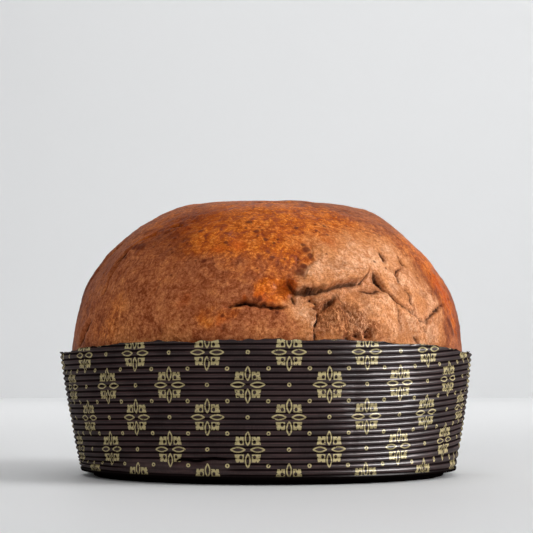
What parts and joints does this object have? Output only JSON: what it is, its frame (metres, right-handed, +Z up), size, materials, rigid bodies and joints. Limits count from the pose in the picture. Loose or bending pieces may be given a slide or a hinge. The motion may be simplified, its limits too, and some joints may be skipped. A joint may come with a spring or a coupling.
{
  "type": "panettone",
  "caption": "Low round panettone: a browned domed loaf with a torn, cracked crust, risen out of a ribbed dark paper baking case with a gold ornament print.",
  "frame": {"origin": "centre of the rim's outline, at the height of the surface that the case stands on", "axes": "+Z up, -Y towards the side shown in the picture, +X to the right in the picture"},
  "size_m": [0.2222, 0.2236, 0.1488],
  "materials": {
    "printed_paper": "dark brown corrugated baking paper with a satin sheen and a dull gold print",
    "crust": "baked crust, glossy red-brown on the crown and matte light tan where it stretched and tore"
  },
  "bodies": {
    "root": {"paper_case": "printed_paper", "loaf": "crust"}
  },
  "joints": []
}
